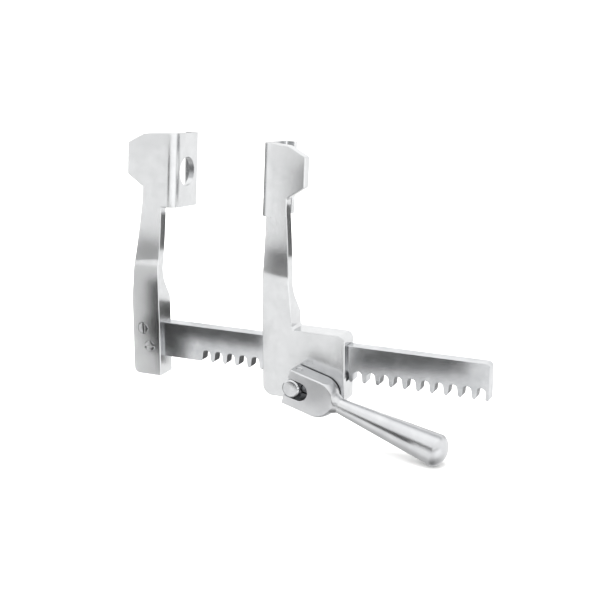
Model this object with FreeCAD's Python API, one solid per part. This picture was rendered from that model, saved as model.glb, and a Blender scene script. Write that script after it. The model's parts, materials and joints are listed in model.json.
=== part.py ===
import FreeCAD, Part
import math
import os

# Child-size rib spreader with a toothed rack, one fixed arm and one arm that
# a crank drives along the rack. All sizes are in millimetres.
# X runs along the rack from the fixed arm, Y points from the front to the
# back, into the wound, and Z points up the arms to the blades.
# The origin is the middle of the fixed arm's flat back, at half the rack's height.

# Rack bar
rack_height = 14.5
rack_thickness = 5.0
rack_plain_length = 18.6      # between the fixed arm and the first gap
rack_end_land = 1.5           # steel left past the last gap
rack_end_radius = 2.0
tooth_pitch = 5.5
tooth_gap_count = 22
gap_root_width = 3.35
gap_mouth_width = 3.85
gap_depth = 4.6
tooth_tip_flat = 0.6
tooth_tip_bevel = 0.7         # height of the slopes beside the flat

# Arms, which are mirror images of each other above the rack
arm_width = 12.5
arm_block_depth = 9.4
arm_plate_thickness = 4.2
arm_neck_width = 8.6
arm_taper_start = 9.75        # above the rack's top edge
arm_foot_radius = 60.0        # where the taper starts
arm_neck_rise = 3.3           # taper's end, above the blade's bottom edge
arm_neck_radius = 25.0        # where the taper ends
neck_overlap = 6.0            # of the arm into the head
crease_height = 23.0          # where the front face starts to lean back
crease_lean = 12.0            # degrees, just above the crease
head_lean = 5.5               # degrees, at the blade
block_back_height = 9.5       # where the thick block starts to thin
block_back_slope = 8.8        # height over which it thins
block_shoulder_radius = 2.5
block_hollow_radius = 12.0    # between the slope and the thin arm

# Heads and blades
blade_bottom_height = 47.4
fixed_blade_height = 29.7
moving_blade_height = 28.6
blade_depth = 21.4
fixed_blade_overhang = 6.0    # from the arm's inner side to the blade's working face
moving_blade_overhang = 3.4
blade_thickness = 2.4
blade_bend_radius = 5.8
blade_lip_length = 6.4
blade_lip_radius = 3.4
blade_inner_radius = 1.0
blade_corner_radius = 1.2
blade_window_diameter = 11.6
blade_window_depth = 10.4     # its middle, behind the head's front face
blade_window_height = 14.3    # its middle, above the blade's bottom edge
flare_width = 15.75           # from the arm's inner side to the head's outer edge
flare_bottom_height = 12.5    # where the head's outer edge starts, above the blade's bottom
flare_top_chamfer = 7.3
flare_top_drop = 3.8
head_top_drop = 0.6
flare_bottom_rise = 4.7
flare_corner_radius = 0.6
head_top_radius = 3.0
neck_corner_radius = 1.0

# Fixed arm
fixed_foot_drop = 8.2         # below the tooth tips
fixed_corner_radius = 2.4
rack_seat_wall = 1.5          # steel between the rack's end and the outer side
screw_head_diameter = 4.8
screw_head_height = 1.4
screw_shank_diameter = 2.6
screw_slot_width = 0.8
screw_slot_depth = 0.7
screw_edge_chamfer = 0.22
screw_tip_gap = 0.7           # blind end, measured from the back face
upper_screw_inset = 4.7       # from the outer side
upper_screw_height = 4.15     # above the rack's middle
upper_slot_angle = 90.0
lower_screw_inset = 7.6
lower_screw_height = -3.3
lower_slot_angle = -20.0

# Carriage, in one piece with the moving arm
rest_opening = 46.65          # between the two arms' inner sides, as pictured
carriage_length = 35.0
carriage_rise = 4.1           # above the rack
carriage_corner_radius = 2.8
carriage_toe_radius = 4.0
carriage_elbow_radius = 1.2
slide_clearance = 0.08

# Pinion and its bearings
pinion_teeth = 5
pinion_axis_inset = 16.25     # from the carriage's arm side
pitch_line_height = 2.28      # above the tooth tips
pinion_tip_clearance = 0.5
pinion_root_clearance = 0.1
chamber_clearance = 0.3
chamber_wall = 0.8            # steel below the pinion
running_clearance = 0.05
end_play = 0.1
shaft_diameter = 7.05
journal_diameter = 3.8
journal_end_gap = 0.5
shaft_end_chamfer = 0.5
bush_wall = 0.95
plate_ear_reach = 10.4
plate_ear_half_height = 3.2
plate_ear_depth = 1.3
plate_ear_end_flat = 0.15     # between the two round corners of an ear's end
plate_screw_outset = 0.2      # past the middle of the ear
plate_screw_head_diameter = 3.4
plate_screw_head_height = 0.8
plate_screw_shank_diameter = 1.6
plate_screw_length = 4.6
plate_screw_slot_width = 0.5
plate_screw_slot_depth = 0.45
plate_screw_slot_angle = 30.0
plate_screw_edge_chamfer = 0  # its small heads are sharp

# Pinion tooth, in shares of the tooth pitch: half widths, and levels about the pitch circle
tooth_foot_half = 0.15
tooth_waist_half = 0.105
tooth_waist_level = -0.27
tooth_flank_half = 0.2
tooth_flank_level = -0.03
tooth_shoulder_half = 0.27
tooth_shoulder_level = 0.09
tooth_crest_half = 0.23
tooth_tip_half = 0.15
tooth_tip_round = 0.02        # drop from the tip's middle to its corners
tooth_foot_sink = 1.5         # mm of each tooth inside the pinion's core, for a sound joint

# Folding crank handle
handle_droop = 15.8           # degrees below the rack's line, as pictured
handle_length = 65.7          # from the hinge pin to the tip
grip_lean = 2.2               # degrees away from the carriage
fork_width = 14.8
fork_thickness = 8.4
fork_tail = 2.2               # cheeks past the pin
fork_swing_clearance = 0.13   # between the cheeks' corners and the carriage
fork_side_clearance = 0.12
fork_slot_clearance = 1.25    # between the shaft's end and the slot's round bottom
fork_ball_inset = 10.6        # from the pin to the middle of the ball-shaped shoulder
collar_radius = 4.3           # where the neck's collar leaves the ball
collar_length = 2.3
fork_edge_bevel = 0.3
neck_radius = 3.05
grip_radius = 6.35
grip_end_length = 4.6         # of the domed end
grip_end_radius = 3.4         # round the dome's edge
hinge_pin_diameter = 2.4
hinge_pin_inset = 0.15
hinge_pin_chamfer = 0.2
shaft_proud = 0.35            # shaft end in front of the fork

cut_over = 1.0                # how far a cutter reaches past what it cuts
same_place = 1e-4             # points nearer than this are one

# Levels and places that follow from the sizes
rack_top = rack_height / 2
tooth_tips = -rack_height / 2
front_face = -arm_block_depth
rack_middle_y = -arm_block_depth / 2
rack_front_y = rack_middle_y - rack_thickness / 2
rack_back_y = rack_middle_y + rack_thickness / 2
fixed_inner_x = arm_width / 2
fixed_outer_x = -arm_width / 2
rack_start_x = fixed_outer_x + rack_seat_wall
first_gap_x = fixed_inner_x + rack_plain_length + gap_root_width / 2
last_gap_x = first_gap_x + (tooth_gap_count - 1) * tooth_pitch
rack_end_x = last_gap_x + gap_root_width / 2 + rack_end_land
moving_inner_x = fixed_inner_x + rest_opening
carriage_end_x = moving_inner_x + carriage_length
mirror_x = (fixed_inner_x + moving_inner_x) / 2
crease_z = rack_top + crease_height
blade_bottom_z = rack_top + blade_bottom_height
pitch_radius = pinion_teeth * tooth_pitch / (2 * math.pi)
pinion_axis_drop = pitch_radius - pitch_line_height
pinion_tip_radius = pinion_axis_drop + gap_depth - pinion_tip_clearance
pinion_root_radius = pinion_axis_drop - pinion_root_clearance
pinion_x = moving_inner_x + pinion_axis_inset
pinion_z = tooth_tips - pinion_axis_drop
chamber_radius = pinion_tip_radius + chamber_clearance
carriage_drop = pinion_axis_drop + chamber_radius + chamber_wall
channel_front_y = rack_front_y - slide_clearance
channel_back_y = rack_back_y + slide_clearance
fork_slot_width = shaft_diameter + 2 * fork_side_clearance
fork_slot_reach = math.hypot(shaft_diameter / 2, fork_thickness / 2 + shaft_proud) + fork_slot_clearance
fork_gap = math.hypot(fork_thickness / 2, fork_tail) - fork_thickness / 2 + fork_swing_clearance
fork_middle_y = front_face - fork_gap - fork_thickness / 2
plate_hole_x = (chamber_radius + plate_ear_reach) / 2 + plate_screw_outset
fork_head_radius = math.hypot(fork_width / 2, fork_thickness / 2) - fork_edge_bevel

across = FreeCAD.Vector(1, 0, 0)
inward = FreeCAD.Vector(0, 1, 0)
upward = FreeCAD.Vector(0, 0, 1)


def point(x, y, z):
    return FreeCAD.Vector(x, y, z)


def box(x0, x1, y0, y1, z0, z1):
    return Part.makeBox(x1 - x0, y1 - y0, z1 - z0, point(x0, y0, z0))


def rod(diameter, start, direction, length):
    return Part.makeCylinder(diameter / 2, length, start, direction)


def toward(angle):
    """Unit vector in the XZ plane, turned from +X towards +Z."""
    return point(math.cos(angle), 0, math.sin(angle))


def front_outline(corners):
    """Closed wire in the XZ plane through (x, z) corners, rounded where a radius follows."""
    count = len(corners)
    edges = []
    last_end = None
    first_start = None
    for i, corner in enumerate(corners):
        here = point(corner[0], 0, corner[1])
        radius = corner[2] if len(corner) > 2 else 0
        before = point(corners[i - 1][0], 0, corners[i - 1][1]) - here
        after = point(corners[(i + 1) % count][0], 0, corners[(i + 1) % count][1]) - here
        before.normalize()
        after.normalize()
        start = here
        end = here
        if radius:
            half = before.getAngle(after) / 2
            reach = radius / math.tan(half)
            start = here + before * reach
            end = here + after * reach
            bisector = before + after
            bisector.normalize()
            middle = here + bisector * (radius / math.sin(half) - radius)
        if last_end is not None and last_end.distanceToPoint(start) > same_place:
            edges.append(Part.LineSegment(last_end, start).toShape())
        if radius:
            edges.append(Part.Arc(start, middle, end).toShape())
        if first_start is None:
            first_start = start
        last_end = end
    if last_end.distanceToPoint(first_start) > same_place:
        edges.append(Part.LineSegment(last_end, first_start).toShape())
    return Part.Wire(edges)


def slab(corners, y0, y1):
    """Solid with a front outline, from depth y0 to depth y1."""
    face = Part.Face(front_outline(corners))
    face.translate(point(0, y0, 0))
    return face.extrude(point(0, y1 - y0, 0))


def bevelled(shape, size, wanted):
    """The shape with a chamfer on each edge that the test picks."""
    edges = [edge for edge in shape.Edges if wanted(edge)]
    return shape.makeChamfer(size, edges)


def at_depth(edge, y):
    return all(abs(vertex.Y - y) < same_place for vertex in edge.Vertexes)


def rack_gap_cutter():
    """One tooth gap about X = 0: round root, straight flanks that open towards the mouth."""
    root_radius = gap_root_width / 2
    root_z = tooth_tips + gap_depth - root_radius
    root_left = point(-root_radius, 0, root_z)
    root_right = point(root_radius, 0, root_z)
    low = tooth_tips - cut_over
    right_side = [
        root_right,
        point(gap_mouth_width / 2, 0, tooth_tips + tooth_tip_bevel),
        point((tooth_pitch - tooth_tip_flat) / 2, 0, tooth_tips),
        point((tooth_pitch - tooth_tip_flat) / 2, 0, low),
    ]
    left_side = [point(-p.x, 0, p.z) for p in reversed(right_side)]
    outline = Part.makePolygon(right_side + left_side)
    root = Part.Arc(root_left, point(0, 0, tooth_tips + gap_depth), root_right).toShape()
    edges = outline.Edges + [root]
    face = Part.Face(Part.Wire(edges))
    face.translate(point(0, rack_front_y - cut_over, 0))
    return face.extrude(point(0, rack_thickness + 2 * cut_over, 0))


def screw_places():
    """Middle of each fixed arm screw in X and Z, with the angle of its slot."""
    upper = (fixed_outer_x + upper_screw_inset, upper_screw_height, upper_slot_angle)
    lower = (fixed_outer_x + lower_screw_inset, lower_screw_height, lower_slot_angle)
    return upper, lower


def rack_bar():
    corners = [
        (rack_start_x, tooth_tips),
        (rack_end_x, tooth_tips, rack_end_land / 2),
        (rack_end_x, rack_top, rack_end_radius),
        (rack_start_x, rack_top),
    ]
    bar = slab(corners, rack_front_y, rack_back_y)
    cutter = rack_gap_cutter()
    cutters = []
    for i in range(tooth_gap_count):
        one = cutter.copy()
        one.translate(point(first_gap_x + i * tooth_pitch, 0, 0))
        cutters.append(one)
    # The last gap leaves the end land whole, so its outer tip cut stops at the land.
    land = box(last_gap_x + gap_root_width / 2, rack_end_x + tooth_pitch,
               rack_front_y - 2 * cut_over, rack_back_y + 2 * cut_over,
               tooth_tips - 2 * cut_over, rack_top)
    cutters[-1] = cutters[-1].cut(land)
    bar = bar.cut(cutters)
    for x, z, angle in screw_places():
        bar = bar.cut(rod(screw_shank_diameter + 2 * running_clearance,
                          point(x, rack_front_y - cut_over, z), inward,
                          rack_thickness + 2 * cut_over))
    return bar


def arm_front_corners(bottom_z, overhang):
    """Front outline of the fixed arm, from the bottom of its block to inside the head."""
    neck = fixed_inner_x - arm_neck_width
    tongue = min(fixed_inner_x, bend_start_x(overhang))
    corners = [(fixed_inner_x, bottom_z)]
    if tongue < fixed_inner_x:
        corners.append((fixed_inner_x, blade_bottom_z))
        corners.append((tongue, blade_bottom_z))
    corners += [
        (tongue, blade_bottom_z + neck_overlap),
        (neck, blade_bottom_z + neck_overlap),
        (neck, blade_bottom_z + arm_neck_rise, arm_neck_radius),
        (fixed_outer_x, rack_top + arm_taper_start, arm_foot_radius),
        (fixed_outer_x, bottom_z, fixed_corner_radius),
    ]
    return corners


def bend_start_x(overhang):
    """Where the flat head turns into the blade's round bend."""
    return fixed_inner_x + overhang - blade_bend_radius


def head_front_corners(overhang, height):
    """Front outline of the head, measured up its lean from the blade's bottom."""
    neck = fixed_inner_x - arm_neck_width
    flare = fixed_inner_x - flare_width
    bend_start = bend_start_x(overhang)
    head_top = height - head_top_drop
    return [
        (bend_start, 0),
        (bend_start, height),
        (flare + flare_top_chamfer, head_top, head_top_radius),
        (flare, head_top - flare_top_drop, flare_corner_radius),
        (flare, flare_bottom_height, flare_corner_radius),
        (neck, flare_bottom_height - flare_bottom_rise, neck_corner_radius),
        (neck, 0),
    ]


def lean_profile(offset):
    """Front line of an arm in Y and Z, moved back by an offset: crease, arc, straight lean."""
    first = math.radians(crease_lean)
    second = math.radians(head_lean)
    rise = blade_bottom_z - crease_z
    radius = rise / (math.sin(first) - math.sin(second))
    centre_y = front_face - radius * math.cos(first)
    centre_z = crease_z + radius * math.sin(first)
    reach = radius + offset
    arc = []
    for angle in (first, (first + second) / 2, second):
        arc.append(point(0, centre_y + reach * math.cos(angle), centre_z - reach * math.sin(angle)))
    return arc


def arm_blank(bottom_z):
    """Side profile of an arm, drawn out to the block's width and more."""
    front = lean_profile(0)
    back = lean_profile(arm_plate_thickness)
    lean = point(0, math.sin(math.radians(head_lean)), math.cos(math.radians(head_lean)))
    front_top = front[2] + lean * (2 * neck_overlap)
    back_top = back[2] + lean * (2 * neck_overlap)
    shoulder_z = rack_top + block_back_height
    foot_front = point(0, front_face, bottom_z)
    foot_back = point(0, 0, bottom_z)
    shoulder = point(0, 0, shoulder_z)
    slope_end = point(0, front_face + arm_plate_thickness, shoulder_z + block_back_slope)
    edges = [
        Part.LineSegment(foot_front, front[0]).toShape(),
        Part.Arc(front[0], front[1], front[2]).toShape(),
        Part.LineSegment(front[2], front_top).toShape(),
        Part.LineSegment(front_top, back_top).toShape(),
        Part.LineSegment(back_top, back[2]).toShape(),
        Part.Arc(back[2], back[1], back[0]).toShape(),
        Part.LineSegment(back[0], slope_end).toShape(),
        Part.LineSegment(slope_end, shoulder).toShape(),
        Part.LineSegment(shoulder, foot_back).toShape(),
        Part.LineSegment(foot_back, foot_front).toShape(),
    ]
    face = Part.Face(Part.Wire(edges))
    face.translate(point(fixed_outer_x - cut_over, 0, 0))
    blank = face.extrude(point(arm_width + 2 * cut_over, 0, 0))
    blank = blank.makeFillet(block_shoulder_radius, edges_through(blank, shoulder))
    return blank.makeFillet(block_hollow_radius, edges_through(blank, slope_end))


def edges_through(shape, place):
    """Edges along the rack's direction that pass a place seen from the side."""
    return [edge for edge in shape.Edges
            if all(math.hypot(v.Y - place.y, v.Z - place.z) < same_place for v in edge.Vertexes)]


def blade_section(overhang):
    """Blade seen from above: round bend, working web and hooked lip."""
    web = fixed_inner_x + overhang
    bend = blade_bend_radius
    lip = blade_lip_radius
    thick = blade_thickness
    plate = arm_plate_thickness
    inner = blade_inner_radius
    end = thick / 2
    deep = blade_depth
    diagonal = math.sqrt(0.5)
    bend_start = point(web - bend, 0, 0)
    bend_middle = point(web - bend + bend * diagonal, bend - bend * diagonal, 0)
    bend_end = point(web, bend, 0)
    lip_start = point(web, deep - lip, 0)
    lip_middle = point(web - lip + lip * diagonal, deep - lip + lip * diagonal, 0)
    lip_end = point(web - lip, deep, 0)
    tip_outer = point(web - blade_lip_length + end, deep, 0)
    tip_middle = point(web - blade_lip_length, deep - end, 0)
    tip_inner = point(web - blade_lip_length + end, deep - thick, 0)
    hook_start = point(web - lip, deep - thick, 0)
    hook_radius = lip - thick
    hook_middle = point(web - lip + hook_radius * diagonal, deep - lip + hook_radius * diagonal, 0)
    hook_end = point(web - thick, deep - lip, 0)
    throat_start = point(web - thick, plate + inner, 0)
    throat_middle = point(web - thick - inner + inner * diagonal, plate + inner - inner * diagonal, 0)
    throat_end = point(web - thick - inner, plate, 0)
    back = point(web - bend, plate, 0)
    edges = [
        Part.Arc(bend_start, bend_middle, bend_end).toShape(),
        Part.LineSegment(bend_end, lip_start).toShape(),
        Part.Arc(lip_start, lip_middle, lip_end).toShape(),
        Part.LineSegment(lip_end, tip_outer).toShape(),
        Part.Arc(tip_outer, tip_middle, tip_inner).toShape(),
        Part.LineSegment(tip_inner, hook_start).toShape(),
        Part.Arc(hook_start, hook_middle, hook_end).toShape(),
        Part.LineSegment(hook_end, throat_start).toShape(),
        Part.Arc(throat_start, throat_middle, throat_end).toShape(),
        Part.LineSegment(throat_end, back).toShape(),
        Part.LineSegment(back, bend_start).toShape(),
    ]
    return Part.Face(Part.Wire(edges))


def head(overhang, height):
    """Head plate and blade in one, stood on the head's lean, with its round window."""
    blade = blade_section(overhang).extrude(upward * height)
    web = fixed_inner_x + overhang
    rounded = box(web - blade_lip_length - cut_over, web + cut_over, -cut_over, blade_depth,
                  0, height)
    corners = [edge for edge in rounded.Edges
               if at_depth(edge, blade_depth)
               and abs(edge.Vertexes[0].Z - edge.Vertexes[1].Z) < same_place]
    blade = blade.common(rounded.makeFillet(blade_corner_radius, corners))
    window = rod(blade_window_diameter,
                 point(web - blade_thickness - cut_over, blade_window_depth, blade_window_height),
                 across, blade_thickness + 2 * cut_over)
    plate = slab(head_front_corners(overhang, height), 0, arm_plate_thickness)
    shape = plate.fuse(blade.cut(window)).removeSplitter()
    shape.rotate(point(0, 0, 0), across, -head_lean)
    shape.translate(lean_profile(0)[2])
    return shape


def upper_arm(bottom_z, overhang, height):
    """Arm with its head and blade, down to the bottom of the block, for the fixed side."""
    outline = slab(arm_front_corners(bottom_z, overhang), front_face - cut_over, arm_block_depth)
    plate = arm_blank(bottom_z).common(outline)
    return plate.fuse(head(overhang, height)).removeSplitter()


def fixed_arm():
    bottom = tooth_tips - fixed_foot_drop
    arm = upper_arm(bottom, fixed_blade_overhang, fixed_blade_height)
    arm = arm.cut(box(rack_start_x, fixed_inner_x + cut_over, rack_front_y, rack_back_y,
                      tooth_tips, rack_top))
    for x, z, angle in screw_places():
        gap = 2 * running_clearance
        arm = arm.cut(rod(screw_head_diameter + gap, point(x, front_face - cut_over, z), inward,
                          screw_head_height + cut_over))
        arm = arm.cut(rod(screw_shank_diameter + gap, point(x, front_face, z), inward,
                          arm_block_depth - screw_tip_gap + running_clearance))
    return arm


def slotted_screw(x, z, angle, head_diameter, head_height, edge_chamfer, shank_diameter, length,
                  slot_width, slot_depth, face_y, direction):
    """Cheese-head screw whose head face lies at face_y and whose shank runs along direction."""
    along = inward * direction
    start = point(x, face_y, z)
    head = rod(head_diameter, start, along, head_height)
    if edge_chamfer:
        head = bevelled(head, edge_chamfer, lambda edge: at_depth(edge, face_y))
    shank = rod(shank_diameter, start, along, length)
    screw = head.fuse(shank).removeSplitter()
    half = head_diameter / 2 + cut_over
    slot = box(-half, half, -slot_depth, slot_depth, -slot_width / 2, slot_width / 2)
    slot.rotate(point(0, 0, 0), inward, angle)
    slot.translate(start)
    return screw.cut(slot)


def fixed_arm_screw(place):
    x, z, angle = place
    return slotted_screw(x, z, angle, screw_head_diameter, screw_head_height, screw_edge_chamfer,
                         screw_shank_diameter, arm_block_depth - screw_tip_gap,
                         screw_slot_width, screw_slot_depth, front_face, 1)


def carriage_block():
    """Carriage with its round corners, before the channel is cut."""
    bottom = tooth_tips - carriage_drop
    top = rack_top + carriage_rise
    corners = [
        (moving_inner_x, bottom, carriage_toe_radius),
        (carriage_end_x, bottom, carriage_corner_radius),
        (carriage_end_x, top, carriage_corner_radius),
        (moving_inner_x, top),
    ]
    return slab(corners, front_face, 0)


def moving_arm():
    """Moving arm and carriage with rack channel, pinion chamber and bearing seats."""
    arm = upper_arm(0, moving_blade_overhang, moving_blade_height)
    arm = arm.mirror(point(mirror_x, 0, 0), across)
    body = arm.fuse(carriage_block()).removeSplitter()
    elbow_x = moving_inner_x + arm_width
    elbow_z = rack_top + carriage_rise
    elbow = [edge for edge in body.Edges
             if all(math.hypot(v.X - elbow_x, v.Z - elbow_z) < same_place for v in edge.Vertexes)]
    body = body.makeFillet(carriage_elbow_radius, elbow)
    channel = box(moving_inner_x - cut_over, carriage_end_x + cut_over,
                  channel_front_y, channel_back_y,
                  tooth_tips - slide_clearance, rack_top + slide_clearance)
    body = body.cut(channel)
    chamber = rod(2 * chamber_radius, point(pinion_x, channel_front_y, pinion_z), inward,
                  cut_over - channel_front_y)
    body = body.cut(chamber)
    body = body.cut(plate_ears(running_clearance, cut_over))
    body = body.cut(rod(bush_outer_diameter() + 2 * running_clearance,
                        point(pinion_x, front_face - cut_over, pinion_z), inward,
                        channel_front_y - front_face + 2 * cut_over))
    for side in (-1, 1):
        body = body.cut(rod(plate_screw_shank_diameter + 2 * running_clearance,
                            point(pinion_x + side * plate_hole_x, -plate_screw_length, pinion_z),
                            inward, plate_screw_length + cut_over))
    return body


def bush_outer_diameter():
    return shaft_diameter + 2 * running_clearance + 2 * bush_wall


def front_bush():
    """Plain bearing in the carriage's front wall, flush with it on both sides."""
    length = channel_front_y - front_face
    start = point(pinion_x, front_face, pinion_z)
    outer = rod(bush_outer_diameter(), start, inward, length)
    return outer.cut(rod(shaft_diameter + 2 * running_clearance, start, inward, length))


def plate_ears(gap, back_y):
    """The bearing plate's two round ears, or with a gap their recess in the carriage's back."""
    reach = plate_ear_reach + gap
    half = plate_ear_half_height + gap
    radius = half - plate_ear_end_flat / 2
    corners = [
        (pinion_x - reach, pinion_z - half, radius),
        (pinion_x + reach, pinion_z - half, radius),
        (pinion_x + reach, pinion_z + half, radius),
        (pinion_x - reach, pinion_z + half, radius),
    ]
    return slab(corners, -plate_ear_depth, back_y)


def rear_bearing_plate():
    """Cap that closes the pinion chamber: round plug, two ears and a bore for the journal."""
    thickness = -channel_back_y
    plug = rod(2 * (chamber_radius - running_clearance),
               point(pinion_x, channel_back_y, pinion_z), inward, thickness)
    plate = plug.fuse(plate_ears(0, 0)).removeSplitter()
    plate = plate.cut(rod(journal_diameter + 2 * running_clearance,
                          point(pinion_x, channel_back_y - cut_over, pinion_z), inward,
                          thickness + 2 * cut_over))
    for side in (-1, 1):
        centre = point(pinion_x + side * plate_hole_x, 0, pinion_z)
        gap = 2 * running_clearance
        plate = plate.cut(rod(plate_screw_head_diameter + gap, centre, inward * -1,
                              plate_screw_head_height))
        plate = plate.cut(rod(plate_screw_shank_diameter + gap, centre, inward * -1,
                              plate_ear_depth + cut_over))
    return plate


def bearing_plate_screw(side):
    return slotted_screw(pinion_x + side * plate_hole_x, pinion_z, side * plate_screw_slot_angle,
                         plate_screw_head_diameter, plate_screw_head_height,
                         plate_screw_edge_chamfer, plate_screw_shank_diameter, plate_screw_length,
                         plate_screw_slot_width, plate_screw_slot_depth, 0, -1)


def tooth_point(half, level):
    return point(half * tooth_pitch, 0, pitch_radius + level * tooth_pitch)


def mirrored(place):
    return point(-place.x, 0, place.z)


def pinion_tooth():
    """One pinion tooth about +Z: slim waist, full shoulder past the pitch circle, arched tip."""
    foot = point(tooth_foot_half * tooth_pitch, 0, pinion_root_radius - tooth_foot_sink)
    waist = tooth_point(tooth_waist_half, tooth_waist_level)
    flank = tooth_point(tooth_flank_half, tooth_flank_level)
    shoulder = tooth_point(tooth_shoulder_half, tooth_shoulder_level)
    tip = point(tooth_tip_half * tooth_pitch, 0, pinion_tip_radius - tooth_tip_round * tooth_pitch)
    crest = point(tooth_crest_half * tooth_pitch, 0,
                  (shoulder.z + tip.z) / 2 + tooth_tip_round * tooth_pitch)
    edges = [
        Part.LineSegment(foot, waist).toShape(),
        Part.Arc(waist, flank, shoulder).toShape(),
        Part.Arc(shoulder, crest, tip).toShape(),
        Part.Arc(tip, point(0, 0, pinion_tip_radius), mirrored(tip)).toShape(),
        Part.Arc(mirrored(tip), mirrored(crest), mirrored(shoulder)).toShape(),
        Part.Arc(mirrored(shoulder), mirrored(flank), mirrored(waist)).toShape(),
        Part.LineSegment(mirrored(waist), mirrored(foot)).toShape(),
        Part.LineSegment(mirrored(foot), foot).toShape(),
    ]
    return Part.Face(Part.Wire(edges))


def pinion_phase():
    """Angle of a tooth from +Z towards +X that puts it in the middle of a rack gap."""
    gaps_away = (pinion_x - first_gap_x) / tooth_pitch
    nearest = first_gap_x + round(gaps_away) * tooth_pitch
    return math.degrees((nearest - pinion_x) / pitch_radius)


def pin_direction():
    """Along the hinge pin, square to the drooping handle."""
    droop = math.radians(handle_droop)
    return point(math.sin(droop), 0, math.cos(droop))


def pinion_shaft():
    """Crank shaft cut from one bar: polished front end, hinge bore, five-tooth pinion, journal."""
    teeth_front = channel_front_y + end_play
    teeth_back = channel_back_y - end_play
    width = teeth_back - teeth_front
    front_end = fork_middle_y - fork_thickness / 2 - shaft_proud
    start = point(pinion_x, front_end, pinion_z)
    shaft = rod(shaft_diameter, start, inward, channel_front_y - front_end)
    shaft = bevelled(shaft, shaft_end_chamfer, lambda edge: at_depth(edge, front_end))
    shoulder = point(pinion_x, channel_front_y, pinion_z)
    hub = rod(2 * pinion_root_radius, shoulder, inward, teeth_back - channel_front_y)
    journal = rod(journal_diameter, shoulder, inward, -journal_end_gap - channel_front_y)
    pieces = [hub, journal]
    for i in range(pinion_teeth):
        tooth = pinion_tooth().extrude(point(0, width, 0))
        tooth.rotate(point(0, 0, 0), inward, pinion_phase() + i * 360.0 / pinion_teeth)
        tooth.translate(point(pinion_x, teeth_front, pinion_z))
        pieces.append(tooth)
    shaft = shaft.fuse(pieces).removeSplitter()
    hole_start = point(pinion_x, fork_middle_y, pinion_z) - pin_direction() * shaft_diameter
    return shaft.cut(rod(hinge_pin_diameter + 2 * running_clearance, hole_start,
                         pin_direction(), 2 * shaft_diameter))


def hinge_pin():
    length = fork_width - 2 * hinge_pin_inset
    start = point(pinion_x, fork_middle_y, pinion_z) - pin_direction() * (length / 2)
    pin = rod(hinge_pin_diameter, start, pin_direction(), length)
    return bevelled(pin, hinge_pin_chamfer, lambda edge: edge.Curve.TypeId == "Part::GeomCircle")


def turned(edges):
    return Part.Face(Part.Wire(edges)).revolve(point(0, 0, 0), across, 360)


def fork_blank():
    """Fork turned with a ball-shaped shoulder, along +X from the pin."""
    tail = point(-fork_tail, 0, fork_head_radius)
    ball = point(fork_ball_inset, 0, 0)
    nose = ball + across * fork_head_radius
    return turned([
        Part.LineSegment(point(-fork_tail, 0, 0), tail).toShape(),
        Part.LineSegment(tail, ball + upward * fork_head_radius).toShape(),
        Part.Arc(ball + upward * fork_head_radius, ball + toward(math.pi / 4) * fork_head_radius,
                 nose).toShape(),
        Part.LineSegment(nose, point(-fork_tail, 0, 0)).toShape(),
    ])


def grip_end_points(length):
    """Where the grip's round edge meets its dome, and the middle of each of the two arcs."""
    rise = grip_radius - grip_end_radius
    dome_radius = (grip_end_length ** 2 + rise ** 2 - grip_end_radius ** 2) / (
        2 * (grip_end_length - grip_end_radius))
    edge_centre = point(length - grip_end_length, 0, rise)
    dome_centre = point(length - dome_radius, 0, 0)
    angle = math.atan2(rise, edge_centre.x - dome_centre.x)
    shoulder = edge_centre + toward(angle) * grip_end_radius
    shoulder_middle = edge_centre + toward((angle + math.pi / 2) / 2) * grip_end_radius
    dome_middle = dome_centre + toward(angle / 2) * dome_radius
    return shoulder, shoulder_middle, dome_middle


def neck_and_grip():
    """Collar, neck and club grip in one, leaning away from the carriage from the ball's middle."""
    length = handle_length - fork_ball_inset
    collar_start = math.sqrt(fork_head_radius ** 2 - collar_radius ** 2)
    neck = point(collar_start + collar_length, 0, neck_radius)
    collar = point(collar_start, 0, collar_radius)
    # The collar's cone runs on into the ball, so that the two join without a gap.
    inside = collar + (collar - neck) * (cut_over / collar_length)
    rim = point(length - grip_end_length, 0, grip_radius)
    shoulder, shoulder_middle, dome_middle = grip_end_points(length)
    tip = point(length, 0, 0)
    club = turned([
        Part.LineSegment(point(inside.x, 0, 0), inside).toShape(),
        Part.LineSegment(inside, neck).toShape(),
        Part.LineSegment(neck, rim).toShape(),
        Part.Arc(rim, shoulder_middle, shoulder).toShape(),
        Part.Arc(shoulder, dome_middle, tip).toShape(),
        Part.LineSegment(tip, point(inside.x, 0, 0)).toShape(),
    ])
    club.rotate(point(0, 0, 0), upward, -grip_lean)
    club.translate(point(fork_ball_inset, 0, 0))
    return club


def milled_away():
    """What is milled off round the fork's flat cheeks and its front and back."""
    end = fork_ball_inset + fork_head_radius + collar_length
    around = fork_head_radius + cut_over
    block = box(-fork_tail - cut_over, end, -around, around, -around, around)
    return block.cut(box(-fork_tail - 2 * cut_over, end + cut_over,
                         -fork_thickness / 2, fork_thickness / 2, -fork_width / 2, fork_width / 2))


def crank_handle():
    """Forked handle in one piece, folded down across the carriage as pictured."""
    handle = fork_blank().fuse(neck_and_grip()).cut(milled_away()).removeSplitter()
    round_x = fork_slot_reach - fork_slot_width / 2
    slot_round = rod(fork_slot_width, point(round_x, -fork_thickness, 0), inward, 2 * fork_thickness)
    slot = box(-fork_tail - cut_over, round_x, -fork_thickness, fork_thickness,
               -fork_slot_width / 2, fork_slot_width / 2)
    handle = handle.cut(slot.fuse(slot_round))
    handle = handle.cut(rod(hinge_pin_diameter + 2 * running_clearance,
                            point(0, 0, -fork_width), upward, 2 * fork_width))
    handle.rotate(point(0, 0, 0), inward, handle_droop)
    handle.translate(point(pinion_x, fork_middle_y, pinion_z))
    return handle


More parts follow.
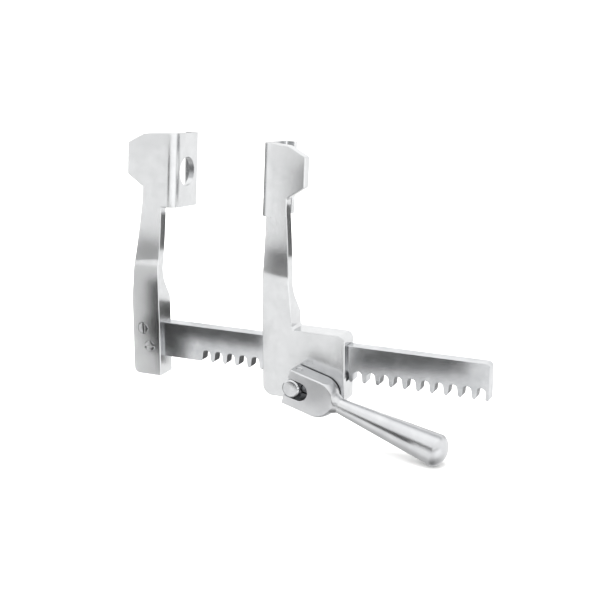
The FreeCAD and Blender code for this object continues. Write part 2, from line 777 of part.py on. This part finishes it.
def main():
    upper, lower = screw_places()
    nodes = {
        "rack_bar": rack_bar(),
        "fixed_arm": fixed_arm(),
        "fixed_arm_screw_upper": fixed_arm_screw(upper),
        "fixed_arm_screw_lower": fixed_arm_screw(lower),
        "moving_arm": moving_arm(),
        "front_bush": front_bush(),
        "rear_bearing_plate": rear_bearing_plate(),
        "bearing_plate_screw_left": bearing_plate_screw(-1),
        "bearing_plate_screw_right": bearing_plate_screw(1),
        "pinion_shaft": pinion_shaft(),
        "hinge_pin": hinge_pin(),
        "crank_handle": crank_handle(),
    }
    os.makedirs("parts", exist_ok=True)
    for name, shape in nodes.items():
        shape.exportStep("parts/" + name + ".step")
        print(name, "valid", shape.isValid(), "solids", len(shape.Solids),
              "volume", round(shape.Volume, 1))


main()
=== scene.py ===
# Child-size rib spreader in satin stainless steel on a white studio table.
import json
import math

import bmesh
import bpy
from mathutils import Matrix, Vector

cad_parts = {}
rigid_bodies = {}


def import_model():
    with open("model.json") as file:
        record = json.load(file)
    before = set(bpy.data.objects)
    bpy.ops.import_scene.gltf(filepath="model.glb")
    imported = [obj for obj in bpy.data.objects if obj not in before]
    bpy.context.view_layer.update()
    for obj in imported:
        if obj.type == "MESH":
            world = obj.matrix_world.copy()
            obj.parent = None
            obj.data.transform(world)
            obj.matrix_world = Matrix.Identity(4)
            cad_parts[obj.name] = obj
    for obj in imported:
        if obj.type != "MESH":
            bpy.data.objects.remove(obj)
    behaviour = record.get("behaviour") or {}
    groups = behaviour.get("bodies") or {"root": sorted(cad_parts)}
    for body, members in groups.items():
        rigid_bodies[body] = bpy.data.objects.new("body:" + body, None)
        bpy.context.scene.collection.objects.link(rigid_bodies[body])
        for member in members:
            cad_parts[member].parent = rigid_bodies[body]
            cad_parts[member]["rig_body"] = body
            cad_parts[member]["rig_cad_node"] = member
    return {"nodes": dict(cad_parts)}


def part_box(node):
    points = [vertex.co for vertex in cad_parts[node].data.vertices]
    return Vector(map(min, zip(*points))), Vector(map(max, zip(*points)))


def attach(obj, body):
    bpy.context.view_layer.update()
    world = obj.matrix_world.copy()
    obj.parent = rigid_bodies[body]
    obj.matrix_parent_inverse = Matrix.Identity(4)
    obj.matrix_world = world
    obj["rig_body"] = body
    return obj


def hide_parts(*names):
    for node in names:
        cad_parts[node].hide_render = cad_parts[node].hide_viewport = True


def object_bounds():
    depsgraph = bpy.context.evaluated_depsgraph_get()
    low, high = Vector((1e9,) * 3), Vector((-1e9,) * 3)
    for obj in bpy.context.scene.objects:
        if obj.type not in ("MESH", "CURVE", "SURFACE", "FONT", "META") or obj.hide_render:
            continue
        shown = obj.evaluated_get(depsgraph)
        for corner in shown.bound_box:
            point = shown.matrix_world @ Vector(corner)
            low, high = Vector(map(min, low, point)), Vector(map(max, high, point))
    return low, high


for leftover in list(bpy.data.objects):
    bpy.data.objects.remove(leftover)

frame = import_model()
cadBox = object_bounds()
nodes = frame["nodes"]
scene = bpy.context.scene
mm = 0.001
print("frame loaded,", len(nodes), "nodes")


# Colours and shader nodes

def linearColour(hexCode):
    channels = [int(hexCode[i:i + 2], 16) / 255 for i in (1, 3, 5)]
    linear = [c / 12.92 if c <= 0.04045 else ((c + 0.055) / 1.055) ** 2.4 for c in channels]
    return (*linear, 1.0)


def addNode(tree, kind, settings=None, links=None):
    node = tree.nodes.new(kind)
    for name, value in (settings or {}).items():
        if isinstance(name, int) or name in node.inputs:
            node.inputs[name].default_value = value
        else:
            setattr(node, name, value)
    for socket, source in (links or {}).items():
        tree.links.new(source, node.inputs[socket])
    return node


mixFirst = 6             # a Mix node's sockets for two colours and for the colour that it makes
mixSecond = 7
mixResult = 2
noiseLow = 0.3           # nearly all that a Noise node gives lies between these two
noiseHigh = 0.7
scratchNoise = {"Scale": 1.0, "Detail": 4.0, "Roughness": 0.6}
patchNoise = {"Detail": 3.0, "Roughness": 0.55}
grainNoise = {"Detail": 2.0, "Roughness": 0.5}


def steelMaterial(name, look):
    material = bpy.data.materials.new(name)
    material.use_nodes = True
    tree = material.node_tree
    tree.nodes.clear()
    place = addNode(tree, "ShaderNodeTexCoord")
    # scratches: noise stretched along the direction of the last polishing
    stretch = [1 / (mm * size) for size in look["scratchSize"]]
    brushed = addNode(tree, "ShaderNodeMapping", {"Scale": stretch}, {"Vector": place.outputs["Object"]})
    scratches = addNode(tree, "ShaderNodeTexNoise", scratchNoise, {"Vector": brushed.outputs["Vector"]})
    # cloudy patches where the satin is a little finer or coarser
    patches = addNode(tree, "ShaderNodeTexNoise", dict(patchNoise, Scale=1 / (mm * look["patchSize"])),
                      {"Vector": place.outputs["Object"]})
    # the grain that blasting leaves, drawn coarse enough to show
    grain = addNode(tree, "ShaderNodeTexNoise", dict(grainNoise, Scale=1 / (mm * look["grainSize"])),
                    {"Vector": place.outputs["Object"]})
    tone = addNode(tree, "ShaderNodeMapRange",
                   {"From Min": noiseLow, "From Max": noiseHigh, "To Min": 0.0, "To Max": 1.0},
                   {"Value": patches.outputs["Fac"]})
    colour = addNode(tree, "ShaderNodeMix",
                     {"data_type": "RGBA", mixFirst: linearColour(look["darkTone"]),
                      mixSecond: linearColour(look["lightTone"])},
                     {"Factor": tone.outputs["Result"]})
    spread = addNode(tree, "ShaderNodeMapRange",
                     {"From Min": noiseLow, "From Max": noiseHigh,
                      "To Min": look["roughness"] - look["roughnessSpread"],
                      "To Max": look["roughness"] + look["roughnessSpread"]},
                     {"Value": scratches.outputs["Fac"]})
    lines = addNode(tree, "ShaderNodeBump",
                    {"Strength": look["scratchBump"], "Distance": mm * look["scratchDepth"]},
                    {"Height": scratches.outputs["Fac"]})
    pits = addNode(tree, "ShaderNodeBump",
                   {"Strength": look["grainBump"], "Distance": mm * look["grainDepth"]},
                   {"Height": grain.outputs["Fac"], "Normal": lines.outputs["Normal"]})
    shader = addNode(tree, "ShaderNodeBsdfPrincipled", {"Metallic": 1.0},
                     {"Base Color": colour.outputs[mixResult],
                      "Roughness": spread.outputs["Result"], "Normal": pits.outputs["Normal"]})
    addNode(tree, "ShaderNodeOutputMaterial", {}, {"Surface": shader.outputs["BSDF"]})
    return material


# Martensitic stainless steel, forged and satin finished: soft reflections with a fine even grain
satinLook = {
    "darkTone": "#CCCDCE",
    "lightTone": "#D5D6D7",
    "roughness": 0.22,
    "roughnessSpread": 0.03,
    "scratchSize": (0.25, 0.25, 2.5),      # all sizes and depths are in mm
    "scratchBump": 0.12,
    "scratchDepth": 0.02,
    "patchSize": 6.0,
    "grainSize": 0.3,
    "grainBump": 0.1,
    "grainDepth": 0.02,
}

# The same steel as a drawn bar, ground lengthwise: tighter reflections, darker where it mirrors a dark card
groundLook = {
    "darkTone": "#B9BBBD",
    "lightTone": "#D0D1D3",
    "roughness": 0.21,
    "roughnessSpread": 0.03,
    "scratchSize": (3.0, 0.25, 0.25),
    "scratchBump": 0.15,
    "scratchDepth": 0.02,
    "patchSize": 8.0,
    "grainSize": 0.3,
    "grainBump": 0.08,
    "grainDepth": 0.02,
}

# Hand-polished stainless steel for the handle: smooth all round, softened by fine wear
polishedLook = {
    "darkTone": "#C8C9CB",
    "lightTone": "#D6D7D8",
    "roughness": 0.32,
    "roughnessSpread": 0.03,
    "scratchSize": (1.2, 0.3, 0.3),
    "scratchBump": 0.03,
    "scratchDepth": 0.02,
    "patchSize": 7.0,
    "grainSize": 0.4,
    "grainBump": 0.05,
    "grainDepth": 0.02,
}

# Turned and burnished shaft, pin, bush and screws: clear dark and light reflections
burnishedLook = {
    "darkTone": "#BFC0C2",
    "lightTone": "#D4D5D6",
    "roughness": 0.11,
    "roughnessSpread": 0.02,
    "scratchSize": (0.3, 1.5, 0.3),
    "scratchBump": 0.05,
    "scratchDepth": 0.02,
    "patchSize": 3.0,
    "grainSize": 0.3,
    "grainBump": 0.04,
    "grainDepth": 0.02,
}

satinSteel = steelMaterial("satin stainless steel", satinLook)
groundSteel = steelMaterial("ground stainless steel bar", groundLook)
polishedSteel = steelMaterial("polished stainless steel", polishedLook)
burnishedSteel = steelMaterial("burnished stainless steel", burnishedLook)
print("materials made")


# Pieces: each large part is its CAD solid with its edges broken, as the polishing wheel leaves them

def pick(obj):
    bpy.ops.object.select_all(action="DESELECT")
    obj.select_set(True)
    bpy.context.view_layer.objects.active = obj


def copyOfNode(nodeName, pieceName):
    pick(nodes[nodeName])
    bpy.ops.object.duplicate()
    piece = bpy.context.active_object
    bpy.ops.object.parent_clear(type="CLEAR_KEEP_TRANSFORM")
    piece.name = pieceName
    piece.data.name = pieceName
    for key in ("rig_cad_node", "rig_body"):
        if key in piece:
            del piece[key]
    return piece


def around(nodeName, margin):
    low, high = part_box(nodeName)
    grow = Vector((margin, margin, margin)) * mm
    return Vector(low) - grow, Vector(high) + grow


def within(place, box):
    return all(box[0][i] < place[i] < box[1][i] for i in range(3))


holeMargin = 0.3             # mm round a screw or bearing, in which its seat's edges stay finer or sharp
screwSeats = [around("fixed_arm_screw_upper", holeMargin), around("fixed_arm_screw_lower", holeMargin)]
bearingSeats = [around("front_bush", holeMargin), around("rear_bearing_plate", holeMargin)]


def weighEdges(piece, edges, keepOut):
    mesh = bmesh.from_edit_mesh(piece.data)
    weights = mesh.edges.layers.float.new("bevel_weight_edge")
    limit = math.radians(edges["sharpAngle"])
    for edge in mesh.edges:
        middle = (edge.verts[0].co + edge.verts[1].co) / 2
        if not edge.is_convex or edge.calc_face_angle(0) < limit:
            continue
        if any(within(middle, seat) for seat in keepOut):
            continue
        # behind the rack's middle, the rims of level faces stay as sharp as the cutter leaves them
        level = max(face.normal.z for face in edge.link_faces)
        if middle.y > 0 and level > edges["facingAll"]:
            continue
        # widest where one of its faces looks to the front, and fading out round a bend
        facing = max(-face.normal.y for face in edge.link_faces)
        if middle.y >= 0 or any(within(middle, seat) for seat in screwSeats):
            facing = 0
        share = (facing - edges["facingNone"]) / (edges["facingAll"] - edges["facingNone"])
        width = edges["fineWidth"] + min(max(share, 0), 1) * (edges["rimWidth"] - edges["fineWidth"])
        edge[weights] = width / edges["rimWidth"]
    bmesh.update_edit_mesh(piece.data)


def breakEdges(piece, edges, keepOut):
    pick(piece)
    bpy.ops.object.mode_set(mode="EDIT")
    bpy.ops.mesh.select_mode(type="EDGE")
    bpy.ops.mesh.select_all(action="SELECT")
    bpy.ops.mesh.remove_doubles(threshold=edges["mergeDistance"] * mm)
    bpy.ops.mesh.customdata_custom_splitnormals_clear()
    bpy.ops.mesh.dissolve_limited(angle_limit=math.radians(edges["flatAngle"]))
    weighEdges(piece, edges, keepOut)
    bpy.ops.object.mode_set(mode="OBJECT")
    bpy.ops.object.modifier_add(type="BEVEL")
    bevel = piece.modifiers[-1]
    bevel.limit_method = "WEIGHT"
    bevel.width = edges["rimWidth"] * mm
    bevel.segments = edges["segments"]
    bevel.profile = edges["profile"]
    bevel.use_clamp_overlap = False
    bevel.loop_slide = False
    bpy.ops.object.modifier_apply(modifier=bevel.name)
    bpy.ops.object.shade_smooth_by_angle(angle=math.radians(edges["smoothAngle"]))
    bpy.ops.object.modifier_add(type="WEIGHTED_NORMAL")
    piece.modifiers[-1].keep_sharp = True
    bpy.ops.object.modifier_apply(modifier=piece.modifiers[-1].name)


def finishedPiece(nodeName, pieceName, body, material, edges, keepOut=()):
    piece = copyOfNode(nodeName, pieceName)
    breakEdges(piece, edges, keepOut)
    piece.data.materials.clear()
    piece.data.materials.append(material)
    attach(piece, body)
    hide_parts(nodeName)
    return piece


armEdges = {
    "mergeDistance": 0.001,  # mm, as the two widths are
    "flatAngle": 0.3,        # degrees, as the other angles are
    "sharpAngle": 32.0,
    "facingAll": 0.93,       # how squarely a face must look to the front for its rim to be full width
    "facingNone": 0.2,
    "rimWidth": 0.32,
    "fineWidth": 0.1,
    "segments": 3,
    "profile": 0.35,
    "smoothAngle": 30.0,
}
rackEdges = dict(armEdges, rimWidth=0.22, fineWidth=0.18)
handleEdges = dict(armEdges, rimWidth=0.25, fineWidth=0.2)
screwEdges = dict(armEdges, rimWidth=0.16, fineWidth=0.16)
finishedPiece("fixed_arm", "fixed_arm_finished", "frame", satinSteel, armEdges)
finishedPiece("moving_arm", "moving_arm_finished", "carriage", satinSteel, armEdges,
              bearingSeats)
finishedPiece("rack_bar", "rack_bar_finished", "frame", groundSteel, rackEdges, screwSeats)
finishedPiece("crank_handle", "crank_handle_finished", "handle", polishedSteel, handleEdges)
for screw in ("fixed_arm_screw_upper", "fixed_arm_screw_lower"):
    finishedPiece(screw, screw + "_finished", "frame", burnishedSteel, screwEdges)
print("large pieces finished")

nodeFinish = {
    "front_bush": burnishedSteel,
    "rear_bearing_plate": satinSteel,
    "bearing_plate_screw_left": burnishedSteel,
    "bearing_plate_screw_right": burnishedSteel,
    "pinion_shaft": burnishedSteel,
    "hinge_pin": burnishedSteel,
}
for nodeName, material in nodeFinish.items():
    mesh = nodes[nodeName].data
    mesh.materials.clear()
    mesh.materials.append(material)
print("small parts finished")


# Table, light and camera

def plainMaterial(name, colour, roughness):
    material = bpy.data.materials.new(name)
    material.use_nodes = True
    shader = material.node_tree.nodes["Principled BSDF"]
    shader.inputs["Base Color"].default_value = linearColour(colour)
    shader.inputs["Roughness"].default_value = roughness
    return material


table = {
    "size": 60.0,            # metres, so that its far edge never shows
    "colour": "#F4F4F3",
    "roughness": 0.9,
}
floorLevel = cadBox[0].z
bpy.ops.mesh.primitive_plane_add(size=table["size"], location=(0, 0, floorLevel))
floor = bpy.context.active_object
floor.name = "studio_table"
floor.data.materials.append(plainMaterial("matt white paper", table["colour"], table["roughness"]))

# The dome is bright all round, with the dim wall behind the camera just above the table.
# The metal mirrors it on all sides, so the table is left out of the reflections.
floor.visible_glossy = False
dome = {
    "bands": [               # degrees above the horizon, brightness
        (-90.0, 0.25),
        (-60.0, 0.6),
        (-32.0, 1.15),
        (0.0, 1.3),
        (50.0, 1.25),
        (90.0, 1.5),
    ],
    "wallHeight": 0.165,     # the dim wall's middle, as the sine of its elevation
    "wallInner": 0.035,      # how far above and below that it is darkest, and where it ends
    "wallOuter": 0.085,
    "wallFront": -0.3,       # how far to the front, along Y, the wall is at full strength
    "wallBack": 0.0,         # and where it has faded out
    "wallLevel": 0.03,
    "brightSide": (0.88, -0.39, -0.26),      # what the edges on the right mirror
    "brightFrom": 0.75,
    "brightFull": 1.0,
    "brightExtra": 0.35,
    "darkSide": (-0.76, 0.59, -0.26),        # what the edges on the left mirror
    "darkFrom": 0.8,
    "darkFull": 0.92,
    "darkLevel": 0.2,
}


def domeWorld(name, dome):
    world = bpy.data.worlds.new(name)
    world.use_nodes = True
    tree = world.node_tree
    tree.nodes.clear()
    direction = addNode(tree, "ShaderNodeTexCoord")
    parts = addNode(tree, "ShaderNodeSeparateXYZ", {}, {"Vector": direction.outputs["Generated"]})
    height = addNode(tree, "ShaderNodeMapRange", {"From Min": -1.0, "From Max": 1.0},
                     {"Value": parts.outputs["Z"]})
    ramp = addNode(tree, "ShaderNodeValToRGB", {}, {"Fac": height.outputs["Result"]})
    stops = ramp.color_ramp.elements
    while len(stops) < len(dome["bands"]):
        stops.new(0.5)       # its place is set below
    for stop, (elevation, level) in zip(stops, dome["bands"]):
        stop.position = (math.sin(math.radians(elevation)) + 1) / 2
        stop.color = (level, level, level, 1)

    # the dim wall: away from its height, or behind the object, it leaves the dome as it is
    off = addNode(tree, "ShaderNodeMath", {"operation": "SUBTRACT", 1: dome["wallHeight"]},
                  {0: parts.outputs["Z"]})
    distance = addNode(tree, "ShaderNodeMath", {"operation": "ABSOLUTE"}, {0: off.outputs["Value"]})
    away = addNode(tree, "ShaderNodeMapRange",
                   {"From Min": dome["wallInner"], "From Max": dome["wallOuter"],
                    "To Min": dome["wallLevel"]},
                   {"Value": distance.outputs["Value"]})
    behind = addNode(tree, "ShaderNodeMapRange",
                     {"From Min": dome["wallFront"], "From Max": dome["wallBack"]},
                     {"Value": parts.outputs["Y"]})
    clear = addNode(tree, "ShaderNodeMath", {"operation": "MAXIMUM"},
                    {0: away.outputs["Result"], 1: behind.outputs["Result"]})
    walled = addNode(tree, "ShaderNodeMath", {"operation": "MULTIPLY"},
                     {0: ramp.outputs["Color"], 1: clear.outputs["Value"]})

    # the dark and the bright patch
    towardDark = addNode(tree, "ShaderNodeVectorMath", {"operation": "DOT_PRODUCT", 1: dome["darkSide"]},
                         {0: direction.outputs["Generated"]})
    dim = addNode(tree, "ShaderNodeMapRange",
                  {"From Min": dome["darkFrom"], "From Max": dome["darkFull"],
                   "To Min": 1.0, "To Max": dome["darkLevel"]},
                  {"Value": towardDark.outputs["Value"]})
    towardBright = addNode(tree, "ShaderNodeVectorMath", {"operation": "DOT_PRODUCT", 1: dome["brightSide"]},
                           {0: direction.outputs["Generated"]})
    extra = addNode(tree, "ShaderNodeMapRange",
                    {"From Min": dome["brightFrom"], "From Max": dome["brightFull"],
                     "To Min": 0.0, "To Max": dome["brightExtra"]},
                    {"Value": towardBright.outputs["Value"]})
    dimmed = addNode(tree, "ShaderNodeMath", {"operation": "MULTIPLY"},
                     {0: walled.outputs["Value"], 1: dim.outputs["Result"]})
    total = addNode(tree, "ShaderNodeMath", {"operation": "ADD"},
                    {0: dimmed.outputs["Value"], 1: extra.outputs["Result"]})

    # the camera itself sees plain white
    seen = addNode(tree, "ShaderNodeLightPath")
    shown = addNode(tree, "ShaderNodeMath", {"operation": "MAXIMUM"},
                    {0: total.outputs["Value"], 1: seen.outputs["Is Camera Ray"]})
    background = addNode(tree, "ShaderNodeBackground", {"Color": (1, 1, 1, 1)},
                         {"Strength": shown.outputs["Value"]})
    addNode(tree, "ShaderNodeOutputWorld", {}, {"Surface": background.outputs["Background"]})
    return world


scene.world = domeWorld("soft studio dome", dome)

middle = Vector((67.2, -5.0, 22.7)) * mm       # of the picture
overhead = {
    "place": (-100, -200, 900),      # mm
    "size": 1600,
    "power": 20.0,                   # watts
}
lightPlace = Vector(overhead["place"]) * mm
bpy.ops.object.light_add(type="AREA", location=lightPlace)
light = bpy.context.active_object
light.name = "overhead_light"
light.data.size = overhead["size"] * mm
light.data.energy = overhead["power"]
light.visible_camera = False
light.visible_glossy = False
light.rotation_euler = (lightPlace - middle).to_track_quat("Z", "Y").to_euler()

# Cards that only the polished metal sees. Each stands where the faces that it is named for mirror
# the camera's line of sight, and gives them their dark shading.
cardRoughness = 0.9
cardTones = {
    "black card": "#0C0C0C",
    "dark card": "#5A5A5A",
    "grey card": "#A0A0A0",
    "pale card": "#C4C4C4",
}
cardMaterials = {tone: plainMaterial(tone, colour, cardRoughness) for tone, colour in cardTones.items()}
cards = {                    # middle, width and height in mm, slope in degrees, tone
    "card_arm_grey": ((-16, -42, -8), 24, 66, 0, "pale card"),
    "card_arm_band": ((-10, -38, 1), 11, 34, 0, "black card"),
    "card_left_rack": ((10, -38, -4.5), 56, 9, 0, "black card"),
    "card_left_rack_low": ((-6, -39, -17), 12, 14, 0, "dark card"),
    "card_rack_top": ((22, 12, 5), 60, 4, 0, "black card"),
    "card_teeth_left": ((38, 12, -13), 44, 9, 0, "dark card"),
    "card_teeth_right": ((125, 12, -13), 42, 9, 0, "grey card"),
    "card_carriage": ((61, -55, -20), 20, 9, -28, "black card"),
    "card_right_rack": ((97, -55, -10), 52, 13, 5, "black card"),
    "card_handle": ((102, -30, -19), 30, 3.6, -15.8, "black card"),
    "card_moving_head": ((45, -75, 66), 22, 24, 0, "dark card"),
    "card_moving_crease": ((48, -45, 39.5), 22, 10, 0, "dark card"),
    "card_moving_fade": ((52, -46, 47), 14, 12, 0, "pale card"),
    "card_fixed_crease": ((-20, -45, 38.5), 16, 5, 0, "dark card"),
    "card_fixed_fade": ((-20, -46, 41), 16, 6, 0, "pale card"),
    "card_window_edge": ((-7, 7, 69), 3, 20, 0, "dark card"),
    "card_fixed_side": ((15, 10, 41), 10, 16, 0, "dark card"),
    "card_fixed_side_low": ((15, 10, 7), 10, 8, 0, "dark card"),
    "card_moving_side": ((70, 10, 47), 10, 20, 0, "dark card"),
}
for name, (place, width, height, slope, tone) in cards.items():
    bpy.ops.mesh.primitive_plane_add(size=1, location=Vector(place) * mm,
                                     rotation=(math.pi / 2, -math.radians(slope), 0))
    card = bpy.context.active_object
    card.name = name
    card.scale = (width * mm, height * mm, 1)
    card.data.materials.append(cardMaterials[tone])
    card.visible_camera = False
    card.visible_diffuse = False
    card.visible_shadow = False

view = {
    "azimuth": 24.12,        # degrees to the right of the object's front
    "elevation": 15.20,
    "distance": 523.8,       # mm from the middle of the picture
    "lens": 80.5,
    "sensor": 36.0,
    "clipStart": 10.0,
}
turn = math.radians(view["azimuth"])
lift = math.radians(view["elevation"])
back = Vector((math.sin(turn) * math.cos(lift), -math.cos(turn) * math.cos(lift), math.sin(lift)))
bpy.ops.object.camera_add(location=middle + back * view["distance"] * mm)
camera = bpy.context.active_object
camera.rotation_euler = back.to_track_quat("Z", "Y").to_euler()
camera.data.lens = view["lens"]
camera.data.sensor_width = view["sensor"]
camera.data.clip_start = view["clipStart"] * mm
scene.camera = camera
scene.view_settings.view_transform = "Standard"
print("table, light and camera set")
